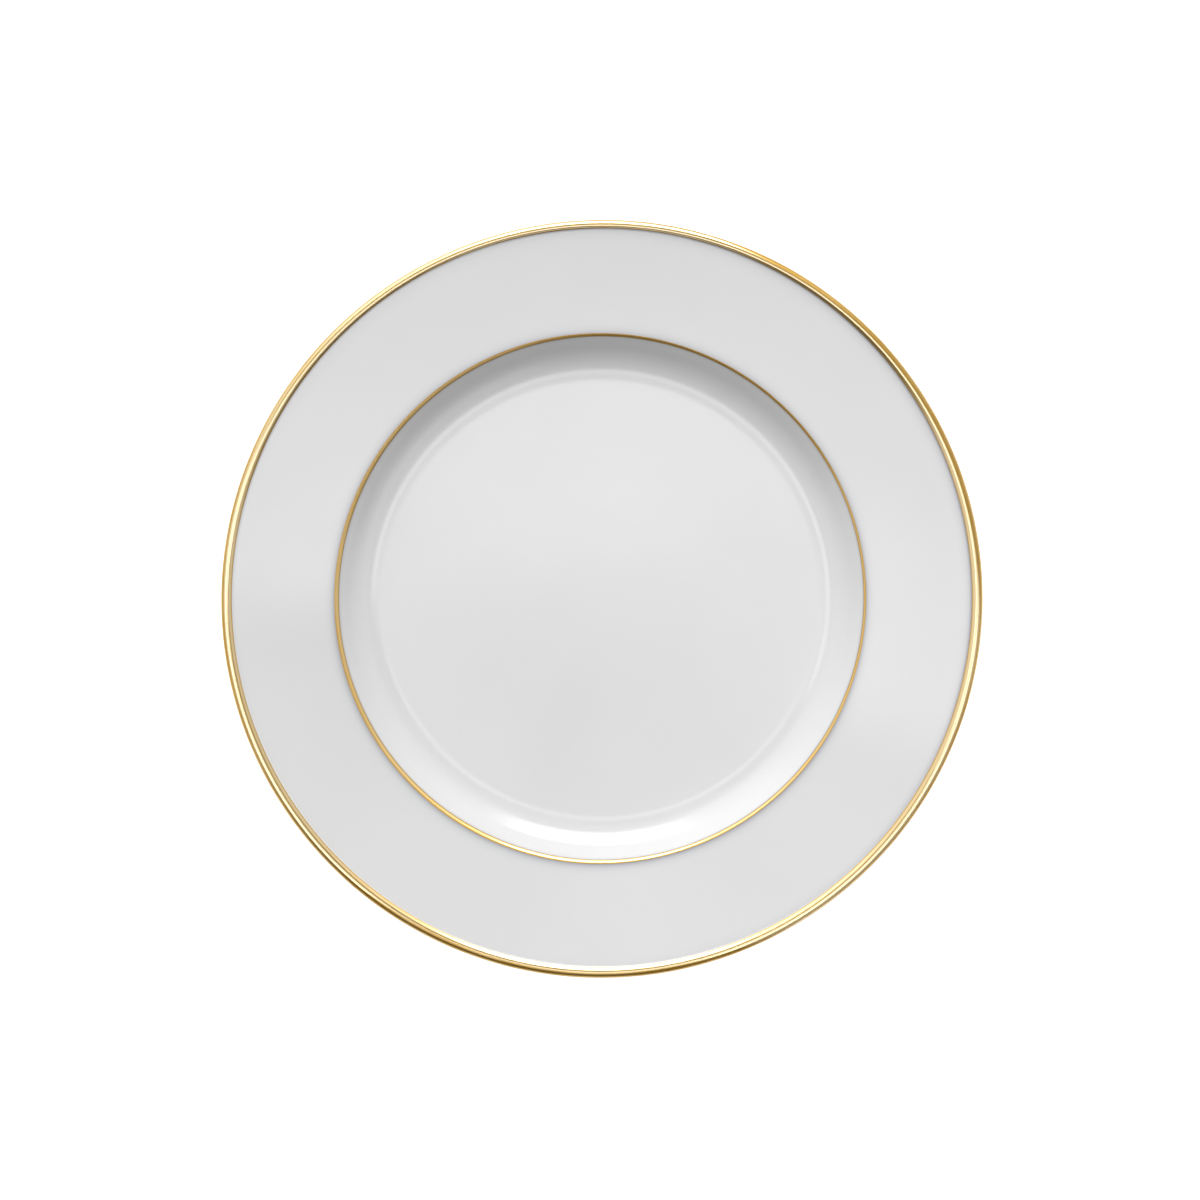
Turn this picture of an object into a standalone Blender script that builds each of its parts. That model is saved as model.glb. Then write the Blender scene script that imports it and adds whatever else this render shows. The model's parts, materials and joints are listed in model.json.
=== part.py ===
"""A china dinner plate: a one-piece porcelain body, its two coats of glaze and its gilding.

Metres, +Z up. The plate's axis is Z, and the origin is on it, at the height that the foot ring stands on.
Every piece is turned from one outline of the bare porcelain, so each coat follows the body facet by facet.
An outline is a list of (radius, height) points: out along the face, over the lip, in along the underside.
"""

import math

import bmesh
import bpy
from mathutils import Vector

# The finished plate
PLATE_RADIUS = 0.1365
VERGE_RADIUS = 0.0950  # the corner where the well's wall turns over into the rim
FLOOR_RADIUS = 0.0780  # the flat floor of the well
FLOOR_HEIGHT = 0.0062
BASE_HEIGHT = 0.0024  # the recessed underside inside the foot ring
FOOT_RADIUS = 0.0785  # the middle of the foot ring's width
FOOT_WIDTH = 0.0024
BEAD_RADIUS = 0.0020  # the rounded, gilded lip

# Slopes, as radians above the horizontal
WALL_SLOPE = math.radians(42)
RIM_SLOPE = math.radians(7)
UNDERSIDE_SLOPE = math.radians(7.8)  # steeper than the face, so the rim thins towards the lip
BEAD_RAMP = math.radians(25)  # the short rise from the rim up to the bead
FOOT_DRAFT = 0.0003  # how far each side of the foot ring leans in over its height
BARE_EDGE = 0.0008  # the glaze is wiped off the foot ring below this height

# Curves of the bare porcelain
WALL_CURVE = 0.0223
VERGE_CURVE = 0.0020
RAMP_CURVE = 0.0025
UNDER_VERGE_CURVE = 0.0060
FOOT_ROOT_CURVE = 0.0012
FOOT_EDGE_CURVE = 0.0004
BEAD_RISE = 0.0004  # how far the bead's middle sits above the middle of the rim's thickness

# Coats, and the gap that each keeps to the surface under it
GAP = 0.0003
GLAZE = 0.0003
GOLD = 0.00015
GLAZED = GAP + GLAZE  # from the bare porcelain to the glaze's outer surface
GILDED = GLAZED + GAP + GOLD  # from the bare porcelain to the gold's outer surface

SEGMENTS = 72  # facets round the axis
SHARP_ANGLE = math.radians(35)
SAME_POINT = 1e-6  # points nearer to each other than this are one point


def clear_scene():
    for thing in list(bpy.data.objects):
        bpy.data.objects.remove(thing, do_unlink=True)


def surface_material(name, colour, roughness, metallic=0.0):
    material = bpy.data.materials.new(name)
    material.use_nodes = True
    shader = material.node_tree.nodes["Principled BSDF"]
    shader.inputs["Base Color"].default_value = (*colour, 1)
    shader.inputs["Roughness"].default_value = roughness
    shader.inputs["Metallic"].default_value = metallic
    return material


def slope_line(start, slope, radius):
    """The point at this radius on the line that leaves start at this slope."""
    return Vector((radius, start.y + (radius - start.x) * math.tan(slope)))


def crossing(start, slope, other, other_slope):
    """Where two sloping lines meet."""
    rise, other_rise = math.tan(slope), math.tan(other_slope)
    radius = (other.y - start.y + start.x * rise - other.x * other_rise) / (rise - other_rise)
    return slope_line(start, slope, radius)


def on_circle(centre, radius, angle):
    return centre + radius * Vector((math.cos(angle), math.sin(angle)))


def arc(centre, radius, start, end, steps):
    """Points along an arc, both ends included."""
    turns = (start + (end - start) * step / steps for step in range(steps + 1))
    return [on_circle(centre, radius, turn) for turn in turns]


def fillet(before, corner, after, radius, steps):
    """The arc that rounds off a corner between two straight stretches."""
    inward = (before - corner).normalized()
    outward = (after - corner).normalized()
    half_angle = inward.angle(outward) / 2
    bisector = (inward + outward).normalized()
    centre = corner + bisector * radius / math.sin(half_angle)
    start = corner + inward * radius / math.tan(half_angle) - centre
    end = corner + outward * radius / math.tan(half_angle) - centre
    turn = math.atan2(start.x * end.y - start.y * end.x, start.dot(end))
    first = math.atan2(start.y, start.x)
    return arc(centre, radius, first, first + turn, steps)


def offset(outline, distance):
    """The outline moved outwards, each stretch staying parallel to the one it was."""
    mirrored = [Vector((-outline[1].x, outline[1].y)), *outline, Vector((-outline[-2].x, outline[-2].y))]
    moved = []
    for before, point, after in zip(mirrored, outline, mirrored[2:]):
        first = (point - before).normalized().orthogonal()
        second = (after - point).normalized().orthogonal()
        moved.append(point + distance * (first + second) / (1 + first.dot(second)))
    return moved


def plate_outline():
    """The bare porcelain's outline, and the names of its stretches, each with its place in the outline."""
    floor_top = FLOOR_HEIGHT - GLAZED
    base_bottom = BASE_HEIGHT + GLAZED
    thickness = floor_top - base_bottom
    wall_centre = Vector((FLOOR_RADIUS, floor_top + WALL_CURVE))
    wall_top = on_circle(wall_centre, WALL_CURVE, WALL_SLOPE - math.pi / 2)

    # The glaze moves the verge's corner inwards, so the bare corner is that much further out.
    lean, spread = (WALL_SLOPE + RIM_SLOPE) / 2, (WALL_SLOPE - RIM_SLOPE) / 2
    verge_radius = VERGE_RADIUS + GLAZED * math.sin(lean) / math.cos(spread)
    verge = slope_line(wall_top, WALL_SLOPE, verge_radius)

    bead = BEAD_RADIUS - GILDED
    rim_middle = slope_line(verge, RIM_SLOPE, PLATE_RADIUS - BEAD_RADIUS) - Vector((0, bead))
    bead_centre = rim_middle + Vector((0, BEAD_RISE))
    bead_start = on_circle(bead_centre, bead, math.pi / 2 + BEAD_RAMP)
    bead_end = on_circle(bead_centre, bead, UNDERSIDE_SLOPE - math.pi / 2)
    ramp_foot = crossing(verge, RIM_SLOPE, bead_start, BEAD_RAMP)

    under_wall = wall_top + thickness * Vector((math.sin(WALL_SLOPE), -math.cos(WALL_SLOPE)))
    under_verge = crossing(bead_end, UNDERSIDE_SLOPE, under_wall, WALL_SLOPE)

    foot_outer = FOOT_RADIUS + FOOT_WIDTH / 2
    foot_inner = FOOT_RADIUS - FOOT_WIDTH / 2
    root_angle = math.asin((foot_outer + FOOT_DRAFT - FLOOR_RADIUS) / (WALL_CURVE + thickness))
    under_curve = arc(
        wall_centre, WALL_CURVE + thickness, WALL_SLOPE - math.pi / 2, root_angle - math.pi / 2, 3
    )
    outer_root = under_curve.pop()
    outer_edge = Vector((foot_outer, 0))
    inner_edge = Vector((foot_inner, 0))
    inner_root = Vector((foot_inner - FOOT_DRAFT, base_bottom))
    base_middle = Vector((0, base_bottom))
    bare_outer = outer_edge.lerp(outer_root, BARE_EDGE / outer_root.y)
    bare_inner = inner_edge.lerp(inner_root, BARE_EDGE / inner_root.y)

    stretches = {
        "floor": [Vector((0, floor_top))],
        "wall": arc(wall_centre, WALL_CURVE, -math.pi / 2, WALL_SLOPE - math.pi / 2, 5),
        "verge": fillet(wall_top, verge, ramp_foot, VERGE_CURVE, 2),
        "ramp": fillet(verge, ramp_foot, bead_start, RAMP_CURVE, 1),
        "bead": arc(bead_centre, bead, math.pi / 2 + BEAD_RAMP, UNDERSIDE_SLOPE - math.pi / 2, 6),
        "under_verge": fillet(bead_end, under_verge, under_wall, UNDER_VERGE_CURVE, 2),
        "under_wall": under_curve,
        "outer_root": fillet(under_curve[-1], outer_root, outer_edge, FOOT_ROOT_CURVE, 2),
        "bare_outer": [bare_outer],
        "outer_edge": fillet(outer_root, outer_edge, inner_edge, FOOT_EDGE_CURVE, 1),
        "inner_edge": fillet(outer_edge, inner_edge, inner_root, FOOT_EDGE_CURVE, 1),
        "bare_inner": [bare_inner],
        "inner_root": fillet(inner_edge, inner_root, base_middle, FOOT_ROOT_CURVE, 2),
        "base": [base_middle],
    }
    outline = []
    places = {}
    for name, points in stretches.items():
        places[name] = slice(len(outline), len(outline) + len(points))
        outline += points
    return outline, places


def turned_piece(name, section, material):
    """A solid made by turning a closed section round the plate's axis."""
    mesh = bpy.data.meshes.new(name)
    bm = bmesh.new()
    corners = [bm.verts.new((point.x, 0, point.y)) for point in section]
    pairs = zip(corners, corners[1:] + corners[:1])
    edges = [bm.edges.new(pair) for pair in pairs if max(corner.co.x for corner in pair) > SAME_POINT]
    bmesh.ops.spin(
        bm,
        geom=corners + edges,
        cent=(0, 0, 0),
        axis=(0, 0, 1),
        angle=math.tau,
        steps=SEGMENTS,
        use_merge=True,
    )
    bmesh.ops.remove_doubles(bm, verts=bm.verts, dist=SAME_POINT)
    bmesh.ops.recalc_face_normals(bm, faces=bm.faces)
    bm.to_mesh(mesh)
    bm.free()
    mesh.shade_smooth()
    mesh.set_sharp_from_angle(angle=SHARP_ANGLE)
    mesh.materials.append(material)
    piece = bpy.data.objects.new(name, mesh)
    bpy.context.collection.objects.link(piece)
    return piece


def porcelain_body(outline):
    """The fired body, in one piece with its foot ring, whose standing edge stays bare."""
    bisque = surface_material("bare_porcelain", (0.86, 0.84, 0.80), roughness=0.55)
    return turned_piece("porcelain_body", outline, bisque)


def coat(name, outline, stretch, inner, outer, material):
    """A coat over one stretch of the outline, between two distances from the bare porcelain."""
    section = offset(outline, outer)[stretch] + offset(outline, inner)[stretch][::-1]
    return turned_piece(name, section, material)


def glaze_coats(outline, places):
    """The glaze over the face, the lip and the outer underside, and the glaze inside the foot ring."""
    glaze = surface_material("clear_glaze", (0.92, 0.92, 0.91), roughness=0.08)
    outside = slice(places["floor"].start, places["bare_outer"].stop)
    inside = slice(places["bare_inner"].start, places["base"].stop)
    return [
        coat("glaze_coat", outline, outside, GAP, GLAZED, glaze),
        coat("base_glaze", outline, inside, GAP, GLAZED, glaze),
    ]


def gilding(outline, places):
    """The broad gold band over the bead and its ramp, and the fine gold line on the verge."""
    gold = surface_material("burnished_gold", (0.80, 0.58, 0.26), roughness=0.22, metallic=1.0)
    lip = slice(places["ramp"].stop - 1, places["bead"].stop)
    return [
        coat("gold_lip_band", outline, lip, GLAZED + GAP, GILDED, gold),
        coat("gold_verge_line", outline, places["verge"], GLAZED + GAP, GILDED, gold),
    ]


def main():
    clear_scene()
    outline, places = plate_outline()
    axis = bpy.data.objects.new("plate_axis", None)
    bpy.context.collection.objects.link(axis)
    pieces = [porcelain_body(outline), *glaze_coats(outline, places), *gilding(outline, places)]
    for piece in pieces:
        piece.parent = axis


main()
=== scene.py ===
"""The finished china dinner plate: fine turned meshes with their glaze and gilding, in a pale studio.

Metres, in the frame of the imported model, whose Z axis is the plate's own axis. An outline is a list of
(radius, height) points of the finished surface: out along the face, over the lip, in along the underside.
"""

import bisect
import json
import math

import bmesh
import bpy
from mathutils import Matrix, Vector, noise


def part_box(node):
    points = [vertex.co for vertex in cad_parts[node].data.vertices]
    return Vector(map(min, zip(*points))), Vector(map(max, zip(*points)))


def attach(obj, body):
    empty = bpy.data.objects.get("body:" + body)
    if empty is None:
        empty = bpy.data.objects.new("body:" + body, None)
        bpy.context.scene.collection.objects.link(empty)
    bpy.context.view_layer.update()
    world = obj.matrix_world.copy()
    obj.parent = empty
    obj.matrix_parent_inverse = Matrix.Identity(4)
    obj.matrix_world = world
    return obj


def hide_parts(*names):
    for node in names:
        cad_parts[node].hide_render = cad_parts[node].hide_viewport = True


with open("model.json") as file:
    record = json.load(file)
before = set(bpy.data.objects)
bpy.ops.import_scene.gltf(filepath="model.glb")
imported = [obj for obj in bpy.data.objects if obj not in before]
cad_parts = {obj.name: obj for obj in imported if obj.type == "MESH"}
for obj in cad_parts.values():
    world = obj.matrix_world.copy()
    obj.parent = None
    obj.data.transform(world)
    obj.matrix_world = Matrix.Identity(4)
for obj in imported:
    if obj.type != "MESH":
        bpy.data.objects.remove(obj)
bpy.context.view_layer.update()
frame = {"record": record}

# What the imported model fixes
MOUNTS = {mount["name"]: mount for mount in frame["record"]["mounts"]}
FLOOR_HEIGHT = MOUNTS["well_floor"]["pos_m"][2]
PLATE_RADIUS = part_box("gold_lip_band")[1].x
LIP_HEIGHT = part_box("gold_lip_band")[1].z
BARE_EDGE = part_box("base_glaze")[0].z  # the foot ring has no glaze below this height

# The finished plate's other sizes, equal or close to the CAD's
VERGE_RADIUS = 0.0950
BASE_HEIGHT = 0.0024
FOOT_RADIUS = 0.0785
FOOT_WIDTH = 0.0024
BEAD_RADIUS = 0.0020
BEAD_SQUARENESS = 2.6  # 2 rounds the lip's upper outer quarter to a circle, and more squares it off
BEAD_STAND = 0.00065  # how far the bead's crest stands above the line of the rim
RIM_SLOPE = math.radians(7)
WALL_SLOPE = math.radians(42)
UNDERSIDE_SLOPE = math.radians(8.4)
BEAD_RAMP = math.radians(32)
WALL_RUN = 0.0127  # the width over which the floor turns up into the straight part of the wall
WALL_TIGHTENING = 1.35  # 1 bends the wall evenly, and more bends it later
UNDER_WALL_CURVE = 0.0255
VERGE_CURVE = 0.0022
RAMP_CURVE = 0.0026
UNDER_VERGE_CURVE = 0.0060
FOOT_ROOT_CURVE = 0.0009
FOOT_EDGE_CURVE = 0.0006
FOOT_DRAFT = 0.0003
CROWN = 0.0005  # how far the middle of the floor stands above its edge

# Coats
GLAZE = 0.00025
GLAZE_TAPER = 0.0012  # the glaze thins out over this length towards the bare foot
GILDING = 0.00002  # how far the gold stands above the glaze
GILDING_KEY = 0.00003  # how far its underside reaches into the glaze, so that no light passes under it

# The gilding, as painted by hand
LIP_BAND_WIDTH = 0.00365  # seen from above, from the outer edge inwards to the foot of the bead
LIP_BAND_UNDER = 0.0012  # how far it reaches back under the lip
VERGE_LINE_WIDTH = 0.0014
VERGE_LINE_LEAN = 0.00045  # how much narrower the line is on one side, and wider on the other
VERGE_LINE_TURN = math.radians(25)  # where it is narrowest
BRUSH_WANDER = 0.00005  # how far a painted edge strays
BRUSH_DRIFTS = 3  # how often per radian the brush drifts off its line
BRUSH_SHAKES = 17  # and how often it shakes
SHAKE_SHARE = 0.4  # how far it shakes, as a share of how far it drifts
HALO_REACH = 0.0010  # the darkening of the glaze beside the gilding, partly the stain that gold fumes leave and partly painted shade, fades over this length
HALO_STRENGTH = 0.5
HALO_SHELTER = 3.0  # on the wall side of the verge line the darkening fades this many times sooner
LINE_HALO_DELAY = 0.0004  # the verge line's weak side lacks this first, darkest length of the stain and painted shade
LINE_HALO_WEAK = math.radians(90)  # where that side is
LIP_HALO_DELAY = 0.0022
LIP_HALO_WEAK = math.radians(200)

# What firing and hand work did to this plate
OVALITY = 0.0026  # how far the longest radius passes the mean one, as a share of it
OVAL_TURN = math.radians(16)
WELL_SHIFT = Vector((-0.0004, 0.0002))
BEAD_LEAN = 0.00038  # how much narrower the bead is at +Y, and wider at -Y
BEAD_PINCH = 0.00018  # how much narrower it is at +Y and -Y, and wider at +X and -X
BEAD_FADE = 0.004  # how far in from the bead's foot the rim still follows it

# How the gold was brushed and burnished, and the painted shade along the lip's outer edge
BAND_BURNISH = 1.0
LINE_BURNISH = 0.5
EDGE_SHADE_WIDTH = 0.0007  # how far in from the lip's outer edge the gold is duller and carries painted shade: a brown band standing for the dark surroundings it reflects there
EDGE_SHADE_BLUR = 0.0002
WIDE_SHADE_SIDES = ((math.radians(36), 0.0015), (math.radians(262), 0.0021))  # where the painted shade reaches further in
WIDE_SHADE_FULL = math.radians(18)  # the wider painted shade keeps its width this far to each side, and then fades out
WIDE_SHADE_REACH = math.radians(40)
STREAK_LENGTH = 0.03
STREAK_WIDTH = 0.0004
STREAK_TINT = 0.2  # how far a streak's colour goes from the gold's to GOLD_STREAK
STREAK_ROUGHNESS = 0.06  # how much rougher a streak is
THIN_REACH = 0.0006  # the film starts to thin out this far from its painted edges
THINNEST = 0.0001  # and is at its thinnest this near to them
THIN_DULLNESS = 0.85
DULL_ROUGHNESS = 0.1  # how much rougher dull gold is
MATT_ROUGHNESS = 0.50  # of gold that was never burnished
BURNISH_GAIN = 0.20  # how much smoother full burnishing makes it
COAT_IOR = 3.4  # how strongly the closed top of the film reflects
COAT_ROUGHNESS = 0.06

# The bare foot ring
RUB_HEIGHTS = (0.00025, 0.00002)  # rub marks start below the first height and are full below the second
RUB_GLOSS = 0.2  # how much smoother the rubbed porcelain is

# Colours, as linear red, green, blue and opacity
GLAZE_GREY = (0.764, 0.764, 0.764, 1)
GLAZE_WHITE = (0.780, 0.780, 0.780, 1)
# The dark blue the glaze turns beside the gilding: partly a fume stain, partly painted shade
STAIN_AND_PAINTED_SHADE = (0, 0, 0.08, 1)
BISQUE_PALE = (0.80, 0.77, 0.72, 1)
BISQUE_DARK = (0.72, 0.69, 0.64, 1)
BISQUE_RUBBED = (0.42, 0.41, 0.40, 1)
GOLD_PALE = (0.94, 0.70, 0.31, 1)
GOLD_DEEP = (0.91, 0.66, 0.26, 1)
GOLD_STREAK = (0.80, 0.54, 0.17, 1)
# Painted shade: the brown that stands for the dark surroundings reflected in the lip's outer edge
GOLD_EDGE_PAINTED_SHADE = (0.54, 0.35, 0.10, 1)
GOLD_THIN = (0.66, 0.42, 0.12, 1)
FLOOR_GREY = (0.6, 0.6, 0.6, 1)
WHITE = (1, 1, 1, 1)

# The studio
STUDIO_RADIUS = 20
FLOOR_GLOW = 0.46
AMBIENT = 0.10  # the radiance of the dim walls
HORIZON = 0.75
HORIZON_TOP = (math.radians(9), math.radians(5))  # between these elevations the walls turn into the horizon
OVERHEAD = 1.1  # the radiance straight above the plate
OVERHEAD_OPENING = (math.radians(80), math.radians(87))  # the elevations between which it fades in
OVERHEAD_SLOPE = (2.0, 17.0, 0)  # how fast its radiance rises as the direction tips towards +X and +Y
OVERHEAD_MIDDLE = (math.radians(85.8), math.radians(87.8))  # the elevations between which it starts to rise
SOFT_SIDE = math.radians(8)  # how far a softbox's edges blur sideways
SOFT_TOP = math.radians(4)  # and up and down

# Each softbox's radiance, the azimuth of its middle, half its width, and its lowest and highest elevation
SOFTBOXES = {
    "key": (3.4, 88, 20, 24, 57),
    "left": (0.51, 157, 53, 6, 66),
    "right": (0.42, 61, 75, 9, 60),
    "over": (1.7, 258, 103, 70, 81),
    "front": (0.47, 316, 31, 35, 53),
}

# The camera
PLATE_SHARE = 0.6337  # how much of the picture's width the plate takes
CAMERA_PLACE = (-0.0007, -0.00042)  # just off the plate's axis
LENS = 135
SENSOR_WIDTH = 36

SEGMENTS = 360  # facets round the axis
LINE_ROWS = 12  # facets across the verge line
BAND_ROWS = 40
SHARP_ANGLE = math.radians(40)
SAME_POINT = 1e-6  # points nearer to each other than this are one point
NOISE_SPAN = (0.3, 0.7)  # most of a noise texture's values lie between these


# ---------------------------------------------------------------- outline


def slope_line(start, slope, radius):
    """The point at this radius on the line that leaves start at this slope."""
    return Vector((radius, start.y + (radius - start.x) * math.tan(slope)))


def crossing(start, slope, other, other_slope):
    """Where two sloping lines meet."""
    rise, other_rise = math.tan(slope), math.tan(other_slope)
    radius = (other.y - start.y + start.x * rise - other.x * other_rise) / (rise - other_rise)
    return slope_line(start, slope, radius)


def on_circle(centre, radius, angle):
    return centre + radius * Vector((math.cos(angle), math.sin(angle)))


def arc(centre, radius, start, end, steps):
    """Points along an arc, both ends included."""
    turns = (start + (end - start) * step / steps for step in range(steps + 1))
    return [on_circle(centre, radius, turn) for turn in turns]


def fillet(before, corner, after, radius, steps):
    """The arc that rounds off a corner between two straight stretches."""
    inward = (before - corner).normalized()
    outward = (after - corner).normalized()
    half_angle = inward.angle(outward) / 2
    bisector = (inward + outward).normalized()
    centre = corner + bisector * radius / math.sin(half_angle)
    start = corner + inward * radius / math.tan(half_angle) - centre
    end = corner + outward * radius / math.tan(half_angle) - centre
    turn = math.atan2(start.x * end.y - start.y * end.x, start.dot(end))
    first = math.atan2(start.y, start.x)
    return arc(centre, radius, first, first + turn, steps)


def squared_bead(centre, radius, start, end, steps):
    """An arc whose upper outer quarter is flatter on top and tighter at its corner than a circle."""
    points = []
    for point in arc(centre, radius, start, end, steps):
        across, up = point - centre
        if across > 0 and up > 0:
            reach = (across**BEAD_SQUARENESS + up**BEAD_SQUARENESS) ** (1 / BEAD_SQUARENESS)
            point = centre + (point - centre) * radius / reach
        points.append(point)
    return points


def straight(start, end, steps):
    """Points along a straight stretch, both ends left out."""
    return [start.lerp(end, step / steps) for step in range(1, steps)]


def wall_turn(verge, steps):
    """The hollow of the wall, which steepens from level to the straight part that ends at the verge."""
    step_run = WALL_RUN / steps
    points = [Vector((0, 0))]
    for step in range(steps):
        slope = WALL_SLOPE * ((step + 0.5) / steps) ** WALL_TIGHTENING
        points.append(slope_line(points[-1], slope, points[-1].x + step_run))
    wall_top = crossing(Vector((0, FLOOR_HEIGHT + points[-1].y)), 0, verge, WALL_SLOPE)
    return [wall_top + point - points[-1] for point in points]


def crowned_floor(edge, steps):
    """The well's floor from the axis to its edge: highest in the middle, level at both ends."""
    points = []
    for step in range(steps):
        share = step / steps
        rise = CROWN * (1 + math.cos(math.pi * share)) / 2
        points.append(Vector((edge.x * share, edge.y + rise)))
    return points


def face_stretches(bead_centre, bead_start):
    """The face, from the axis out to the foot of the bead."""
    rim_end = bead_centre + Vector((0, BEAD_RADIUS - BEAD_STAND))
    verge = slope_line(rim_end, RIM_SLOPE, VERGE_RADIUS)
    ramp_foot = crossing(verge, RIM_SLOPE, bead_start, BEAD_RAMP)
    wall = wall_turn(verge, steps=36)
    verge_turn = fillet(wall[-1], verge, ramp_foot, VERGE_CURVE, steps=12)
    ramp = fillet(verge, ramp_foot, bead_start, RAMP_CURVE, steps=8)
    return {
        "floor": crowned_floor(wall[0], steps=40),
        "wall": wall,
        "wall_top": straight(wall[-1], verge_turn[0], steps=4),
        "verge": verge_turn,
        "rim": straight(verge_turn[-1], ramp[0], steps=30),
        "ramp": ramp,
        "ramp_top": straight(ramp[-1], bead_start, steps=3),
    }


def underside_stretches(bead_end, foot_outer):
    """The underside, from the bead in to the foot ring, and the corner where it meets the ring."""
    centre = Vector((FOOT_RADIUS, BASE_HEIGHT + UNDER_WALL_CURVE))
    wall_angle = WALL_SLOPE - math.pi / 2
    root_angle = math.asin((foot_outer + FOOT_DRAFT - centre.x) / UNDER_WALL_CURVE) - math.pi / 2
    under_wall = arc(centre, UNDER_WALL_CURVE, wall_angle, root_angle, steps=20)
    corner = crossing(bead_end, UNDERSIDE_SLOPE, under_wall[0], WALL_SLOPE)
    outer_root = under_wall.pop()
    under_turn = fillet(bead_end, corner, under_wall[0], UNDER_VERGE_CURVE, steps=12)
    stretches = {
        "under_rim": straight(bead_end, under_turn[0], steps=24),
        "under_verge": under_turn,
        "under_wall": under_wall,
    }
    return stretches, outer_root


def foot_stretches(before_root, outer_root, foot_outer):
    """The foot ring and the recessed base inside it."""
    foot_inner = foot_outer - FOOT_WIDTH
    outer_edge = Vector((foot_outer, 0))
    inner_edge = Vector((foot_inner, 0))
    inner_root = Vector((foot_inner - FOOT_DRAFT, BASE_HEIGHT))
    base_middle = Vector((0, BASE_HEIGHT))
    bare_outer = outer_edge.lerp(outer_root, BARE_EDGE / outer_root.y)
    bare_inner = inner_edge.lerp(inner_root, BARE_EDGE / inner_root.y)
    outer_turn = fillet(before_root, outer_root, outer_edge, FOOT_ROOT_CURVE, steps=6)
    inner_turn = fillet(inner_edge, inner_root, base_middle, FOOT_ROOT_CURVE, steps=6)
    return {
        "outer_root": outer_turn,
        "outer_foot": straight(outer_turn[-1], bare_outer, steps=4),
        "bare_outer": [bare_outer],
        "outer_edge": fillet(outer_root, outer_edge, inner_edge, FOOT_EDGE_CURVE, steps=8),
        "inner_edge": fillet(outer_edge, inner_edge, inner_root, FOOT_EDGE_CURVE, steps=8),
        "bare_inner": [bare_inner],
        "inner_foot": straight(bare_inner, inner_turn[0], steps=4),
        "inner_root": inner_turn,
        "base": straight(inner_turn[-1], base_middle, steps=24) + [base_middle],
    }


def plate_outline():
    """The finished outline as one list of points, and each named stretch's place in it."""
    bead_centre = Vector((PLATE_RADIUS - BEAD_RADIUS, LIP_HEIGHT - BEAD_RADIUS))
    glazed_bead = BEAD_RADIUS - GILDING
    bead = squared_bead(
        bead_centre, glazed_bead, math.pi / 2 + BEAD_RAMP, UNDERSIDE_SLOPE - math.pi / 2, steps=44
    )
    foot_outer = FOOT_RADIUS + FOOT_WIDTH / 2
    underside, outer_root = underside_stretches(bead[-1], foot_outer)
    stretches = {
        **face_stretches(bead_centre, bead[0]),
        "bead": bead,
        **underside,
        **foot_stretches(underside["under_wall"][-1], outer_root, foot_outer),
    }
    outline = []
    places = {}
    for name, points in stretches.items():
        places[name] = slice(len(outline), len(outline) + len(points))
        outline += points
    return outline, places


def outline_normals(outline):
    """A unit normal at each point of the outline, pointing out of the porcelain."""
    first = Vector((-outline[1].x, outline[1].y))
    last = Vector((-outline[-2].x, outline[-2].y))
    around = [first, *outline, last]
    return [(after - before).normalized().orthogonal() for before, after in zip(around, around[2:])]


def outline_lengths(outline):
    """How far along the outline each point is."""
    lengths = [0.0]
    for before, after in zip(outline, outline[1:]):
        lengths.append(lengths[-1] + (after - before).length)
    return lengths


def glaze_depths(outline, places):
    """How thick the glaze is at each point: full on the plate, thinning to nothing at the bare foot."""
    lengths = outline_lengths(outline)
    outer_end = lengths[places["bare_outer"].start]
    inner_end = lengths[places["bare_inner"].start]
    depths = []
    for length in lengths:
        from_edge = max(outer_end - length, length - inner_end, 0)
        share = min(from_edge / GLAZE_TAPER, 1)
        depths.append(GLAZE * share * (2 - share))
    return depths


# ---------------------------------------------------------------- meshes


def bead_pull(radius, angle, height):
    """How far in from the outline the foot of the bead lies, since the bead was finished by hand."""
    crest = PLATE_RADIUS - BEAD_RADIUS
    foot = PLATE_RADIUS - LIP_BAND_WIDTH
    on_top = height > LIP_HEIGHT - BEAD_RADIUS
    if not on_top or not foot - BEAD_FADE < radius < crest:
        return 0
    share = (crest - radius) / (crest - foot) if radius > foot else 1 - (foot - radius) / BEAD_FADE
    widening = BEAD_PINCH * math.cos(2 * angle) - BEAD_LEAN * math.sin(angle)
    return widening * share * share * (3 - 2 * share)


def fired(radius, angle, height):
    """Where firing leaves a point of the plate: a trace of ovality, and the well a little off centre."""
    radius -= bead_pull(radius, angle, height)
    share = radius / PLATE_RADIUS
    stretch = OVALITY * share * share * math.cos(2 * (angle - OVAL_TURN))
    past_verge = min(max((radius - VERGE_RADIUS) / (PLATE_RADIUS - VERGE_RADIUS), 0), 1)
    shift = WELL_SHIFT * (1 - past_verge)
    return Vector((
        radius * (1 + stretch) * math.cos(angle) + shift.x,
        radius * (1 + stretch) * math.sin(angle) + shift.y,
        height,
    ))


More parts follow.
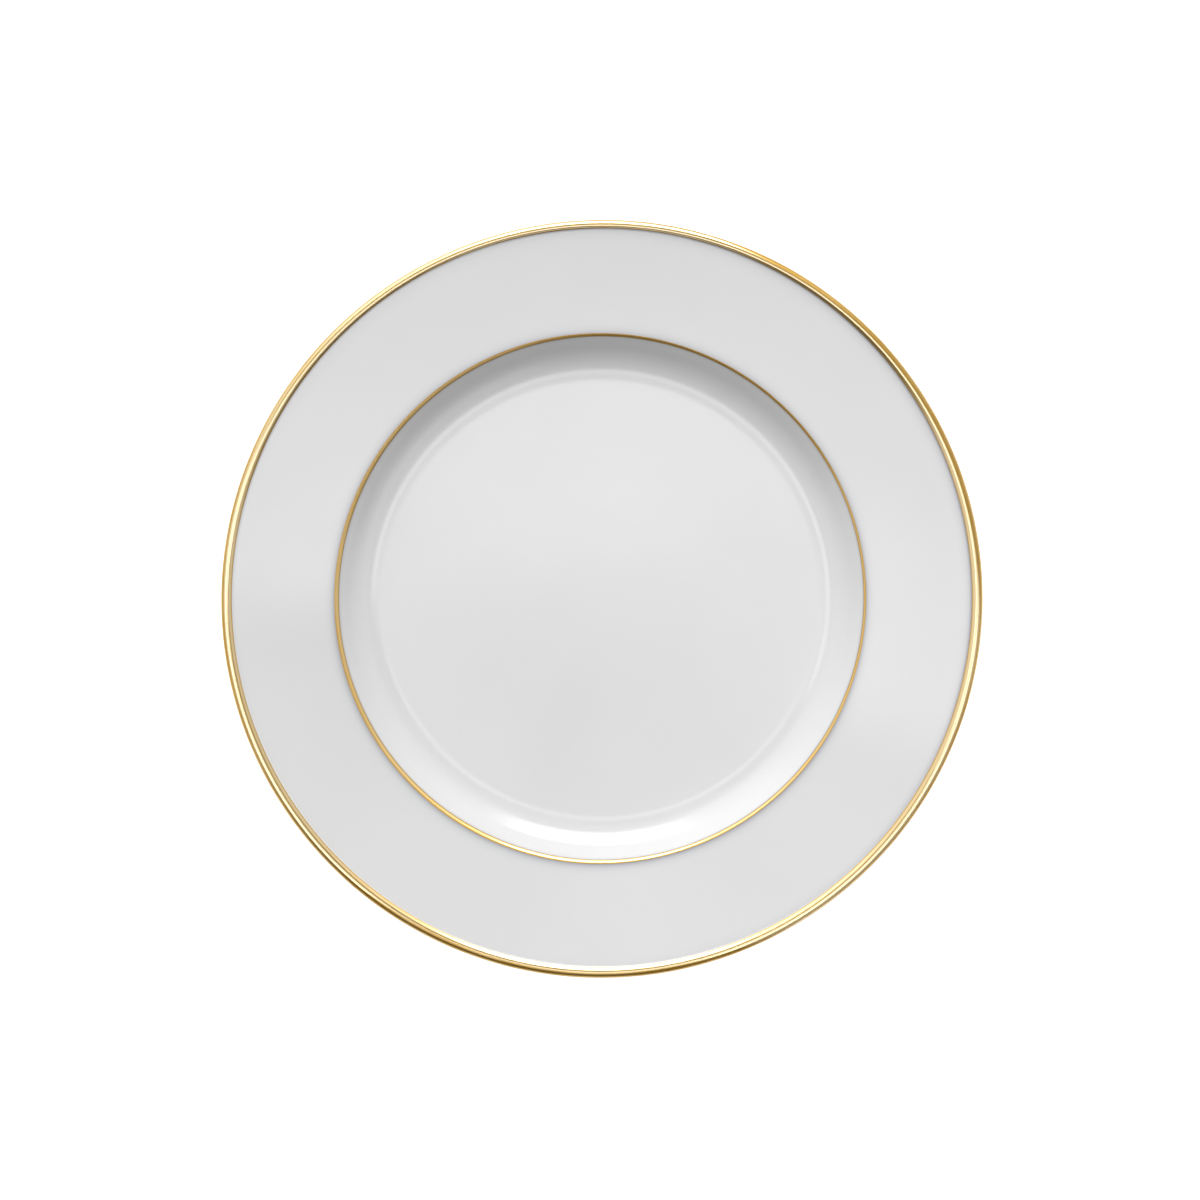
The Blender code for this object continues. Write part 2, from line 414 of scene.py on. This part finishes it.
def turned_mesh(name, section_at, mark_name, marks_at):
    """A closed mesh turned round the axis from section_at(angle).

    marks_at(angle) gives a number for each point of the section, which a material reads by mark_name.
    """
    bm = bmesh.new()
    layer = bm.verts.layers.float.new(mark_name) if mark_name else None
    axis_points = {}
    rings = []
    for segment in range(SEGMENTS):
        angle = math.tau * segment / SEGMENTS
        marks = marks_at(angle) if mark_name else []
        ring = []
        for place, point in enumerate(section_at(angle)):
            if place in axis_points:
                ring.append(axis_points[place])
                continue
            vertex = bm.verts.new(fired(point.x, angle, point.y))
            if mark_name:
                vertex[layer] = marks[place]
            if point.x < SAME_POINT:
                axis_points[place] = vertex
            ring.append(vertex)
        rings.append(ring)
    for ring, next_ring in zip(rings, rings[1:] + rings[:1]):
        for place, next_place in zip(range(-1, len(ring) - 1), range(len(ring))):
            corners = (ring[place], next_ring[place], next_ring[next_place], ring[next_place])
            distinct = list(dict.fromkeys(corners))
            if len(distinct) > 2:
                bm.faces.new(distinct)
    bmesh.ops.recalc_face_normals(bm, faces=bm.faces)
    mesh = bpy.data.meshes.new(name)
    bm.to_mesh(mesh)
    bm.free()
    mesh.shade_smooth()
    mesh.set_sharp_from_angle(angle=SHARP_ANGLE)
    return mesh


def turned_piece(name, section_at, node, material, mark_name=None, marks_at=None):
    """A turned piece that rides on the plate in place of a CAD node."""
    mesh = turned_mesh(name, section_at, mark_name, marks_at)
    mesh.materials.append(material)
    piece = bpy.data.objects.new(name, mesh)
    bpy.context.collection.objects.link(piece)
    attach(piece, "root")
    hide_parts(node)


def make_body(outline, places, material):
    """The porcelain under its glaze, flush with it where the foot ring is bare."""
    depths = glaze_depths(outline, places)
    normals = outline_normals(outline)
    section = [point - normal * depth for point, normal, depth in zip(outline, normals, depths)]
    turned_piece("fired_porcelain", lambda angle: section, "porcelain_body", material)


def make_glaze(name, node, outline, places, covered, gaps_at, material):
    """A coat of glaze over one stretch of the outline, lying on the porcelain.

    gaps_at(angle, lengths) says how far points at these lengths are from the gilding, for the stain and
    painted shade beside it.
    """
    depths = glaze_depths(outline, places)[covered]
    normals = outline_normals(outline)[covered]
    lengths = outline_lengths(outline)[covered]
    outside = outline[covered]
    inside = [point - normal * depth for point, normal, depth in zip(outside, normals, depths)]
    bare_end = 0 if depths[0] == 0 else len(depths) - 1
    inside.pop(bare_end)
    section = outside + inside[::-1]
    inner_lengths = lengths[:bare_end] + lengths[bare_end + 1:]
    section_lengths = lengths + inner_lengths[::-1]

    def marks_at(angle):
        return gaps_at(angle, section_lengths)

    turned_piece(name, lambda angle: section, node, material, "gilding_gap", marks_at)


def make_gilding(name, node, outline, band_at, rows, material):
    """A film of gold between the two lengths along the outline that band_at(angle) gives."""
    normals = outline_normals(outline)
    lengths = outline_lengths(outline)

    def lifted(length, lift):
        """The point this far along the outline, moved off it by the lift."""
        place = min(max(bisect.bisect(lengths, length), 1), len(lengths) - 1)
        share = (length - lengths[place - 1]) / (lengths[place] - lengths[place - 1])
        normal = normals[place - 1].lerp(normals[place], share).normalized()
        return outline[place - 1].lerp(outline[place], share) + normal * lift

    def section_at(angle):
        start, end = band_at(angle)
        top, bottom = [], []
        for row in range(rows + 1):
            share = row / rows
            thickness = math.sqrt(1 - (2 * share - 1) ** 8)  # full in the middle, rounded off at the edges
            length = start + (end - start) * share
            top.append(lifted(length, GILDING * thickness))
            # Just under the top's, so that the two ends of the section stay apart.
            bottom.append(lifted(length, -GILDING_KEY * thickness - SAME_POINT))
        return top + bottom[::-1]

    def marks_at(angle):
        """How far each point is from the nearer painted edge."""
        start, end = band_at(angle)
        from_edge = [min(row, rows - row) * (end - start) / rows for row in range(rows + 1)]
        return from_edge + from_edge[::-1]

    turned_piece(name, section_at, node, material, "edge_gap", marks_at)


# ---------------------------------------------------------------- materials


def add_node(tree, kind, inputs=None, **settings):
    """A new shader node. Each input is a value to set or another node's output to link."""
    node = tree.nodes.new("ShaderNode" + kind)
    for name, value in settings.items():
        setattr(node, name, value)
    for socket, value in (inputs or {}).items():
        if isinstance(value, bpy.types.NodeSocket):
            tree.links.new(value, node.inputs[socket])
        else:
            node.inputs[socket].default_value = value
    return node


def calculate(tree, operation, *values):
    return add_node(tree, "Math", dict(enumerate(values)), operation=operation).outputs[0]


def smooth_step(tree, value, start, end, low=0.0, high=1.0):
    """low up to start, high from end on, with a smooth change between them. start may be above end."""
    inputs = {"Value": value, "From Min": start, "From Max": end, "To Min": low, "To Max": high}
    return add_node(tree, "MapRange", inputs, interpolation_type="SMOOTHSTEP").outputs["Result"]


def clouds(tree, place, size, detail=2.0, low=0.0, high=1.0):
    """Soft patches of about this size in metres, with values from low to high."""
    noise_node = add_node(tree, "TexNoise", {"Vector": place, "Scale": 1 / size, "Detail": detail})
    return smooth_step(tree, noise_node.outputs["Fac"], *NOISE_SPAN, low, high)


def blend(tree, share, first, second):
    """A colour between two, from the first at 0 to the second at 1."""
    # A Mix node has inputs for several kinds of value, and 6 and 7 are its two colours.
    return add_node(tree, "Mix", {0: share, 6: first, 7: second}, data_type="RGBA").outputs[2]


def relief(tree, height, depth, below=None):
    """A bump whose height of 1 stands this many metres high, on top of another bump."""
    inputs = {"Height": height, "Distance": depth}
    if below:
        inputs["Normal"] = below
    return add_node(tree, "Bump", inputs).outputs["Normal"]


def start_material(name):
    """A new material with its tree, its shader and its place in the plate's own coordinates."""
    material = bpy.data.materials.new(name)
    material.use_nodes = True
    tree = material.node_tree
    place = add_node(tree, "TexCoord").outputs["Object"]
    return material, tree, tree.nodes["Principled BSDF"], place


def finish_shader(tree, shader, colour, roughness, normal):
    tree.links.new(colour, shader.inputs["Base Color"])
    tree.links.new(roughness, shader.inputs["Roughness"])
    tree.links.new(normal, shader.inputs["Normal"])


def glaze_material():
    """A clear, glossy glaze on white: barely wavy, and darkened beside the gilding, partly by the stain of
    the gold's fumes and partly by painted shade.
    """
    material, tree, shader, place = start_material("clear_glaze")
    white = blend(tree, clouds(tree, place, size=0.06), GLAZE_GREY, GLAZE_WHITE)
    gap = add_node(tree, "Attribute", attribute_name="gilding_gap").outputs["Fac"]
    # Painted shade: beside the gilding the glaze darkens towards a dark blue, over a faint stain from the
    # gold's fumes
    fading = calculate(tree, "EXPONENT", calculate(tree, "DIVIDE", gap, -HALO_REACH))
    stain_and_shade = calculate(tree, "MULTIPLY", fading, HALO_STRENGTH)
    colour = blend(tree, stain_and_shade, white, STAIN_AND_PAINTED_SHADE)
    roughness = clouds(tree, place, size=0.018, detail=3.0, low=0.050, high=0.072)
    waves = relief(tree, clouds(tree, place, size=0.022, detail=1.0), depth=0.000012)
    skin = relief(tree, clouds(tree, place, size=0.0025), depth=0.0000006, below=waves)
    finish_shader(tree, shader, colour, roughness, skin)
    return material


def porcelain_material():
    """Bare fired porcelain: fine-grained and matt, with grey rub marks where the plate stands."""
    material, tree, shader, place = start_material("bare_porcelain")
    grain = clouds(tree, place, size=0.0004, detail=4.0)
    body = blend(tree, grain, BISQUE_PALE, BISQUE_DARK)
    height = add_node(tree, "SeparateXYZ", {"Vector": place}).outputs["Z"]
    standing = smooth_step(tree, height, *RUB_HEIGHTS)
    patches = clouds(tree, place, size=0.004, detail=3.0, low=0.1, high=0.7)
    darkened = calculate(tree, "MULTIPLY", standing, patches)
    colour = blend(tree, darkened, body, BISQUE_RUBBED)
    matt = clouds(tree, place, size=0.001, detail=3.0, low=0.55, high=0.7)
    roughness = calculate(tree, "SUBTRACT", matt, calculate(tree, "MULTIPLY", darkened, RUB_GLOSS))
    finish_shader(tree, shader, colour, roughness, relief(tree, grain, depth=0.00002))
    return material


def edge_shade_width(tree, outward):
    """How far in from the lip's outer edge the gold carries painted shade: further at two sides."""
    width = EDGE_SHADE_WIDTH
    for side, widest in WIDE_SHADE_SIDES:
        facing = {0: outward, 1: (math.cos(side), math.sin(side), 0)}
        along = add_node(tree, "VectorMath", facing, operation="DOT_PRODUCT").outputs["Value"]
        near = smooth_step(tree, along, math.cos(WIDE_SHADE_REACH), math.cos(WIDE_SHADE_FULL), EDGE_SHADE_WIDTH, widest)
        width = calculate(tree, "MAXIMUM", width, near)
    return width


def brush_streaks(tree, outward, radius, height):
    """Fine streaks, from 0 to 1, that run round the plate where the brush went."""
    turn = {0: outward, "Scale": PLATE_RADIUS / STREAK_LENGTH}
    around = add_node(tree, "VectorMath", turn, operation="SCALE").outputs["Vector"]
    across = add_node(tree, "CombineXYZ", {"Z": calculate(tree, "DIVIDE", radius, STREAK_WIDTH)}).outputs[0]
    brushed = add_node(tree, "VectorMath", {0: around, 1: across}, operation="ADD").outputs["Vector"]
    inputs = {
        "Vector": brushed,
        "W": calculate(tree, "DIVIDE", height, STREAK_WIDTH),
        "Scale": 1.0,
        "Detail": 3.0,
    }
    streak_noise = add_node(tree, "TexNoise", inputs, noise_dimensions="4D").outputs["Fac"]
    return smooth_step(tree, streak_noise, *NOISE_SPAN)


def painted_edge_shade(tree, place, outward, radius):
    """How much painted shade and dulling the gold carries along the lip's outer edge, from 0 to 1."""
    inset = calculate(tree, "SUBTRACT", PLATE_RADIUS, radius)
    past_edge_shade = calculate(tree, "SUBTRACT", inset, edge_shade_width(tree, outward))
    shaded = smooth_step(tree, past_edge_shade, EDGE_SHADE_BLUR, -EDGE_SHADE_BLUR)
    patches = clouds(tree, place, size=0.025, detail=3.0, low=0.75, high=0.95)
    return calculate(tree, "MULTIPLY", shaded, patches)


def gold_colour(tree, place, streaks, edge_shade, thin):
    """Gold that is a little deeper in its streaks, browner where it is thin, and brown with painted shade
    along the lip's outer edge.
    """
    tone = blend(tree, clouds(tree, place, size=0.02, detail=3.0), GOLD_PALE, GOLD_DEEP)
    streaked = blend(tree, calculate(tree, "MULTIPLY", streaks, STREAK_TINT), tone, GOLD_STREAK)
    darkened = blend(tree, edge_shade, streaked, GOLD_EDGE_PAINTED_SHADE)
    return blend(tree, thin, darkened, GOLD_THIN)


def gold_roughness(tree, streaks, dull, burnish):
    """Smoother where it was burnished, and rougher in its streaks and where it is dull."""
    softness = MATT_ROUGHNESS - BURNISH_GAIN * burnish
    streaked = smooth_step(tree, streaks, 0, 1, softness, softness + STREAK_ROUGHNESS)
    return calculate(tree, "ADD", streaked, calculate(tree, "MULTIPLY", dull, DULL_ROUGHNESS))


def gold_material(name, burnish):
    """Gold whose brush streaks run round the plate, which is thinner, browner and duller at its edges, and
    which carries painted shade along the lip's outer edge.

    burnish, from 0 to 1, is how far the top of the film was closed by rubbing, which lays a sharp and paler
    reflection over the soft golden one.
    """
    material, tree, shader, place = start_material(name)
    shader.inputs["Metallic"].default_value = 1.0
    shader.inputs["Coat Roughness"].default_value = COAT_ROUGHNESS
    shader.inputs["Coat IOR"].default_value = COAT_IOR
    parts = add_node(tree, "SeparateXYZ", {"Vector": place}).outputs
    flat = add_node(tree, "CombineXYZ", {"X": parts["X"], "Y": parts["Y"]}).outputs[0]
    outward = add_node(tree, "VectorMath", {0: flat}, operation="NORMALIZE").outputs["Vector"]
    radius = add_node(tree, "VectorMath", {0: flat}, operation="LENGTH").outputs["Value"]
    gap = add_node(tree, "Attribute", attribute_name="edge_gap").outputs["Fac"]

    streaks = brush_streaks(tree, outward, radius, parts["Z"])
    thin = smooth_step(tree, gap, THIN_REACH, THINNEST)
    # Painted shade: a brown band along the lip's outer edge, where the gold reflects dark surroundings; it
    # also dulls the gold there
    edge_shade = painted_edge_shade(tree, place, outward, radius)
    dull = calculate(tree, "MAXIMUM", edge_shade, calculate(tree, "MULTIPLY", thin, THIN_DULLNESS))
    closed = calculate(tree, "MULTIPLY", calculate(tree, "SUBTRACT", 1.0, dull), burnish)
    tree.links.new(closed, shader.inputs["Coat Weight"])
    colour = gold_colour(tree, place, streaks, edge_shade, thin)
    roughness = gold_roughness(tree, streaks, dull, burnish)
    mottle = relief(tree, clouds(tree, place, size=0.0008), depth=0.00000018)
    skin = relief(tree, streaks, depth=0.0000002, below=mottle)
    finish_shader(tree, shader, colour, roughness, skin)
    return material


# ---------------------------------------------------------------- plate


def brush_wander(angle, seed):
    """How far the brush strays from its line at this angle: slow, with a little shake."""
    around = Vector((math.cos(angle), math.sin(angle), seed))
    drift = noise.noise(around * BRUSH_DRIFTS)
    shake = noise.noise(around * BRUSH_SHAKES)
    return BRUSH_WANDER * (drift + SHAKE_SHARE * shake)


def stain_and_shade_delay(angle, weak_side, most):
    """The first length of the stain and painted shade that is missing at this angle: most on its weak side,
    none opposite.
    """
    return most * (1 + math.cos(angle - weak_side)) / 2


def length_out_to(outline, lengths, radius):
    """How far along the outline its face reaches this radius."""
    place = next(place for place, point in enumerate(outline) if point.x > radius)
    before, after = outline[place - 1], outline[place]
    share = (radius - before.x) / (after.x - before.x)
    return lengths[place - 1] + share * (lengths[place] - lengths[place - 1])


def gilded_bands(outline):
    """Two functions of the angle, which give where the verge line and the lip band start and end."""
    lengths = outline_lengths(outline)
    outermost = lengths[max(range(len(outline)), key=lambda place: outline[place].x)]
    verge_length = length_out_to(outline, lengths, VERGE_RADIUS)
    foot_length = length_out_to(outline, lengths, PLATE_RADIUS - LIP_BAND_WIDTH)

    def verge_band(angle):
        width = VERGE_LINE_WIDTH - VERGE_LINE_LEAN * math.cos(angle - VERGE_LINE_TURN)
        start = verge_length - width / 2 + brush_wander(angle, seed=1)
        return start, start + width + brush_wander(angle, seed=2)

    def lip_band(angle):
        start = foot_length + brush_wander(angle, seed=3)
        return start, outermost + LIP_BAND_UNDER + brush_wander(angle, seed=4)

    return verge_band, lip_band


def stain_and_shade_gaps(angle, lengths, verge_band, lip_band):
    """How far from the gilding each of these lengths along the outline is, as the stain and painted shade
    beside it see it.
    """
    line_start, line_end = verge_band(angle)
    band_start, band_end = lip_band(angle)
    line_delay = stain_and_shade_delay(angle, LINE_HALO_WEAK, LINE_HALO_DELAY)
    band_delay = stain_and_shade_delay(angle, LIP_HALO_WEAK, LIP_HALO_DELAY)
    gaps = []
    for length in lengths:
        from_line = max((line_start - length) * HALO_SHELTER, length - line_end) + line_delay
        from_band = max(band_start - length, length - band_end) + band_delay
        gaps.append(max(min(from_line, from_band), 0))
    return gaps


def make_plate():
    """The five fine pieces, each in place of its CAD node."""
    outline, places = plate_outline()
    verge_band, lip_band = gilded_bands(outline)

    def gaps_at(angle, lengths):
        return stain_and_shade_gaps(angle, lengths, verge_band, lip_band)

    glaze = glaze_material()
    line_gold = gold_material("satin_gold", LINE_BURNISH)
    band_gold = gold_material("burnished_gold", BAND_BURNISH)
    outside = slice(places["floor"].start, places["bare_outer"].stop)
    inside = slice(places["bare_inner"].start, places["base"].stop)
    make_body(outline, places, porcelain_material())
    make_glaze("fine_glaze_coat", "glaze_coat", outline, places, outside, gaps_at, glaze)
    make_glaze("fine_base_glaze", "base_glaze", outline, places, inside, gaps_at, glaze)
    make_gilding("fine_gold_verge_line", "gold_verge_line", outline, verge_band, LINE_ROWS, line_gold)
    make_gilding("fine_gold_lip_band", "gold_lip_band", outline, lip_band, BAND_ROWS, band_gold)


# ---------------------------------------------------------------- studio


def make_floor():
    bpy.ops.mesh.primitive_circle_add(vertices=96, radius=STUDIO_RADIUS, fill_type="TRIFAN")
    floor = bpy.context.object
    floor.name = "studio_floor"
    material = bpy.data.materials.new("pale_floor")
    material.use_nodes = True
    shader = material.node_tree.nodes["Principled BSDF"]
    shader.inputs["Base Color"].default_value = FLOOR_GREY
    shader.inputs["Roughness"].default_value = 1.0
    shader.inputs["Specular IOR Level"].default_value = 0.0
    shader.inputs["Emission Color"].default_value = WHITE
    shader.inputs["Emission Strength"].default_value = FLOOR_GLOW
    floor.data.materials.append(material)


def in_window(tree, value, low, high, softness):
    """1 where the value is between low and high, with soft edges."""
    rise = smooth_step(tree, value, low - softness, low + softness)
    fall = smooth_step(tree, value, high + softness, high - softness)
    return calculate(tree, "MULTIPLY", rise, fall)


def softbox_light(tree, elevation, heading, radiance, azimuth, half_width, lowest, highest):
    """The light of one softbox in the studio's sky. The angles are in degrees."""
    turn = math.radians(azimuth)
    facing = (math.cos(turn), math.sin(turn), 0)
    along = add_node(tree, "VectorMath", {0: heading, 1: facing}, operation="DOT_PRODUCT").outputs["Value"]
    off_axis = calculate(tree, "ARCCOSINE", along)
    edge = math.radians(half_width)
    side = smooth_step(tree, off_axis, edge + SOFT_SIDE, edge - SOFT_SIDE, 0, radiance)
    level = in_window(tree, elevation, math.radians(lowest), math.radians(highest), SOFT_TOP)
    return calculate(tree, "MULTIPLY", side, level)


def overhead_light(tree, elevation, direction):
    """The diffuser above the camera, whose middle brightens towards one side."""
    slope = {0: direction, 1: OVERHEAD_SLOPE}
    rise = add_node(tree, "VectorMath", slope, operation="DOT_PRODUCT").outputs["Value"]
    change = calculate(tree, "MULTIPLY", rise, smooth_step(tree, elevation, *OVERHEAD_MIDDLE))
    glow = calculate(tree, "MAXIMUM", calculate(tree, "ADD", change, OVERHEAD - AMBIENT), 0)
    opening = smooth_step(tree, elevation, *OVERHEAD_OPENING)
    return calculate(tree, "MULTIPLY", glow, opening)


def make_world():
    """A pale studio: dim walls, a bright horizon that the floor runs into, and softboxes."""
    world = bpy.data.worlds.new("studio")
    bpy.context.scene.world = world
    world.use_nodes = True
    tree = world.node_tree
    direction = add_node(tree, "TexCoord").outputs["Generated"]
    parts = add_node(tree, "SeparateXYZ", {"Vector": direction}).outputs
    elevation = calculate(tree, "ARCSINE", parts["Z"])
    level = add_node(tree, "CombineXYZ", {"X": parts["X"], "Y": parts["Y"]}).outputs[0]
    heading = add_node(tree, "VectorMath", {0: level}, operation="NORMALIZE").outputs["Vector"]
    light = smooth_step(tree, elevation, *HORIZON_TOP, AMBIENT, HORIZON)
    light = calculate(tree, "ADD", light, overhead_light(tree, elevation, direction))
    for softbox in SOFTBOXES.values():
        light = calculate(tree, "ADD", light, softbox_light(tree, elevation, heading, *softbox))
    tree.links.new(light, tree.nodes["Background"].inputs["Strength"])
    tree.nodes["Background"].inputs["Color"].default_value = WHITE


def make_camera():
    """Straight above the plate, with a long lens, at the distance that gives the plate its share."""
    data = bpy.data.cameras.new("camera")
    data.lens = LENS
    data.sensor_width = SENSOR_WIDTH
    camera = bpy.data.objects.new("camera", data)
    framed_width = 2 * PLATE_RADIUS / PLATE_SHARE
    distance = framed_width * LENS / SENSOR_WIDTH
    camera.location = (*CAMERA_PLACE, LIP_HEIGHT + distance)
    bpy.context.collection.objects.link(camera)
    bpy.context.scene.camera = camera


def make_studio():
    make_floor()
    make_world()
    make_camera()
    bpy.context.scene.view_settings.view_transform = "Standard"
    bpy.context.scene.view_settings.look = "High Contrast"


make_plate()
make_studio()
